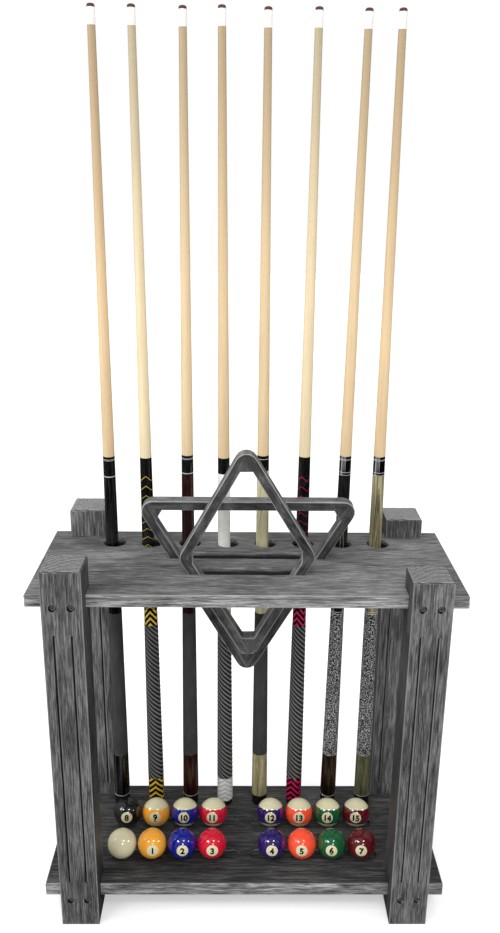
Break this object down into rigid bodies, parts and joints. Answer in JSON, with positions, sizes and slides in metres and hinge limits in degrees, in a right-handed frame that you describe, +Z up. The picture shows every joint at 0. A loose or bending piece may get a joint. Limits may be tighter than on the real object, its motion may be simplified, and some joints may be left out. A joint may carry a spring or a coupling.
{
  "type": "floor cue rack",
  "caption": "Free-standing grey wood cue rack on square posts, with cues in a drilled top shelf, balls in grooves below, and a triangle and a diamond rack in slots.",
  "frame": {"origin": "on the floor, at the centre of the outline", "axes": "+X to the right seen from the front, -Y to the front, +Z up along the cues"},
  "size_m": [0.738, 0.346, 1.5675],
  "materials": {
    "grey_wood": "grey stained, open grain, satin",
    "dark_wood": "dark grey stained, open grain, satin",
    "smooth_grey_wood": "grey stained, smooth, satin",
    "bolt_steel": "plain steel",
    "maple_shaft": "polished maple",
    "cue_1_butt": "gloss black forearm, dark grey leather grip",
    "cue_2_butt": "black with gold chevrons, black ribbed grip",
    "cue_3_butt": "mahogany forearm, dark grey leather grip",
    "cue_4_butt": "pearl white forearm, black ribbed grip",
    "cue_5_butt": "olive wood forearm, dark leather grip",
    "cue_6_butt": "black with magenta chevrons, black ribbed grip",
    "cue_7_butt": "black forearm with inlaid points, speckled linen grip",
    "cue_8_butt": "olive veneered points, speckled linen grip",
    "ball_cue": "polished resin",
    "ball_1": "polished resin",
    "ball_2": "polished resin",
    "ball_3": "polished resin",
    "ball_4": "polished resin",
    "ball_5": "polished resin",
    "ball_6": "polished resin",
    "ball_7": "polished resin",
    "ball_8": "polished resin",
    "ball_9": "polished resin, ivory with a coloured stripe",
    "ball_10": "polished resin, ivory with a coloured stripe",
    "ball_11": "polished resin, ivory with a coloured stripe",
    "ball_12": "polished resin, ivory with a coloured stripe",
    "ball_13": "polished resin, ivory with a coloured stripe",
    "ball_14": "polished resin, ivory with a coloured stripe",
    "ball_15": "polished resin, ivory with a coloured stripe"
  },
  "bodies": {
    "rack": {"post_front_left": "grey_wood", "post_front_right": "grey_wood", "post_rear_left": "grey_wood", "post_rear_right": "grey_wood", "top_shelf": "grey_wood", "bottom_shelf": "dark_wood", "bolt_front_left_top_1": "bolt_steel", "bolt_front_left_top_2": "bolt_steel", "bolt_front_left_bottom_1": "bolt_steel", "bolt_front_left_bottom_2": "bolt_steel", "bolt_front_right_top_1": "bolt_steel", "bolt_front_right_top_2": "bolt_steel", "bolt_front_right_bottom_1": "bolt_steel", "bolt_front_right_bottom_2": "bolt_steel", "bolt_rear_left_top_1": "bolt_steel", "bolt_rear_left_top_2": "bolt_steel", "bolt_rear_left_bottom_1": "bolt_steel", "bolt_rear_left_bottom_2": "bolt_steel", "bolt_rear_right_top_1": "bolt_steel", "bolt_rear_right_top_2": "bolt_steel", "bolt_rear_right_bottom_1": "bolt_steel", "bolt_rear_right_bottom_2": "bolt_steel"},
    "cue_1": {"cue_1_butt": "cue_1_butt", "cue_1_shaft": "maple_shaft"},
    "cue_2": {"cue_2_butt": "cue_2_butt", "cue_2_shaft": "maple_shaft"},
    "cue_3": {"cue_3_butt": "cue_3_butt", "cue_3_shaft": "maple_shaft"},
    "cue_4": {"cue_4_butt": "cue_4_butt", "cue_4_shaft": "maple_shaft"},
    "cue_5": {"cue_5_butt": "cue_5_butt", "cue_5_shaft": "maple_shaft"},
    "cue_6": {"cue_6_butt": "cue_6_butt", "cue_6_shaft": "maple_shaft"},
    "cue_7": {"cue_7_butt": "cue_7_butt", "cue_7_shaft": "maple_shaft"},
    "cue_8": {"cue_8_butt": "cue_8_butt", "cue_8_shaft": "maple_shaft"},
    "triangle": {"triangle_rack": "smooth_grey_wood"},
    "diamond": {"diamond_rack": "smooth_grey_wood"},
    "ball_cue_body": {"ball_cue": "ball_cue"},
    "ball_1_body": {"ball_1": "ball_1"},
    "ball_2_body": {"ball_2": "ball_2"},
    "ball_3_body": {"ball_3": "ball_3"},
    "ball_4_body": {"ball_4": "ball_4"},
    "ball_5_body": {"ball_5": "ball_5"},
    "ball_6_body": {"ball_6": "ball_6"},
    "ball_7_body": {"ball_7": "ball_7"},
    "ball_8_body": {"ball_8": "ball_8"},
    "ball_9_body": {"ball_9": "ball_9"},
    "ball_10_body": {"ball_10": "ball_10"},
    "ball_11_body": {"ball_11": "ball_11"},
    "ball_12_body": {"ball_12": "ball_12"},
    "ball_13_body": {"ball_13": "ball_13"},
    "ball_14_body": {"ball_14": "ball_14"},
    "ball_15_body": {"ball_15": "ball_15"}
  },
  "joints": [
    {"name": "cue_1_lift", "type": "slide", "parent": "rack", "child": "cue_1", "axis": [0.0117, -0.012, 0.9999], "range_m": [0, 0.62]},
    {"name": "cue_2_lift", "type": "slide", "parent": "rack", "child": "cue_2", "axis": [0.0103, -0.0119, 0.9999], "range_m": [0, 0.62]},
    {"name": "cue_3_lift", "type": "slide", "parent": "rack", "child": "cue_3", "axis": [0.0093, -0.0117, 0.9999], "range_m": [0, 0.62]},
    {"name": "cue_4_lift", "type": "slide", "parent": "rack", "child": "cue_4", "axis": [0.0079, -0.012, 0.9999], "range_m": [0, 0.62]},
    {"name": "cue_5_lift", "type": "slide", "parent": "rack", "child": "cue_5", "axis": [0.0068, -0.0117, 0.9999], "range_m": [0, 0.62]},
    {"name": "cue_6_lift", "type": "slide", "parent": "rack", "child": "cue_6", "axis": [0.0058, -0.0118, 0.9999], "range_m": [0, 0.62]},
    {"name": "cue_7_lift", "type": "slide", "parent": "rack", "child": "cue_7", "axis": [0.0048, -0.0117, 0.9999], "range_m": [0, 0.62]},
    {"name": "cue_8_lift", "type": "slide", "parent": "rack", "child": "cue_8", "axis": [0.0032, -0.0118, 0.9999], "range_m": [0, 0.62]},
    {"name": "triangle_lift", "type": "slide", "parent": "rack", "child": "triangle", "axis": [0, 0, 1], "range_m": [0, 0.24]},
    {"name": "diamond_lift", "type": "slide", "parent": "rack", "child": "diamond", "axis": [0, 0, 1], "range_m": [0, 0.17]},
    {"name": "ball_cue_lift", "type": "slide", "parent": "rack", "child": "ball_cue_body", "axis": [0, 0, 1], "range_m": [0, 0.08]},
    {"name": "ball_1_lift", "type": "slide", "parent": "rack", "child": "ball_1_body", "axis": [0, 0, 1], "range_m": [0, 0.08]},
    {"name": "ball_2_lift", "type": "slide", "parent": "rack", "child": "ball_2_body", "axis": [0, 0, 1], "range_m": [0, 0.08]},
    {"name": "ball_3_lift", "type": "slide", "parent": "rack", "child": "ball_3_body", "axis": [0, 0, 1], "range_m": [0, 0.08]},
    {"name": "ball_4_lift", "type": "slide", "parent": "rack", "child": "ball_4_body", "axis": [0, 0, 1], "range_m": [0, 0.08]},
    {"name": "ball_5_lift", "type": "slide", "parent": "rack", "child": "ball_5_body", "axis": [0, 0, 1], "range_m": [0, 0.08]},
    {"name": "ball_6_lift", "type": "slide", "parent": "rack", "child": "ball_6_body", "axis": [0, 0, 1], "range_m": [0, 0.08]},
    {"name": "ball_7_lift", "type": "slide", "parent": "rack", "child": "ball_7_body", "axis": [0, 0, 1], "range_m": [0, 0.08]},
    {"name": "ball_8_lift", "type": "slide", "parent": "rack", "child": "ball_8_body", "axis": [0, 0, 1], "range_m": [0, 0.08]},
    {"name": "ball_9_lift", "type": "slide", "parent": "rack", "child": "ball_9_body", "axis": [0, 0, 1], "range_m": [0, 0.08]},
    {"name": "ball_10_lift", "type": "slide", "parent": "rack", "child": "ball_10_body", "axis": [0, 0, 1], "range_m": [0, 0.08]},
    {"name": "ball_11_lift", "type": "slide", "parent": "rack", "child": "ball_11_body", "axis": [0, 0, 1], "range_m": [0, 0.08]},
    {"name": "ball_12_lift", "type": "slide", "parent": "rack", "child": "ball_12_body", "axis": [0, 0, 1], "range_m": [0, 0.08]},
    {"name": "ball_13_lift", "type": "slide", "parent": "rack", "child": "ball_13_body", "axis": [0, 0, 1], "range_m": [0, 0.08]},
    {"name": "ball_14_lift", "type": "slide", "parent": "rack", "child": "ball_14_body", "axis": [0, 0, 1], "range_m": [0, 0.08]},
    {"name": "ball_15_lift", "type": "slide", "parent": "rack", "child": "ball_15_body", "axis": [0, 0, 1], "range_m": [0, 0.08]}
  ]
}
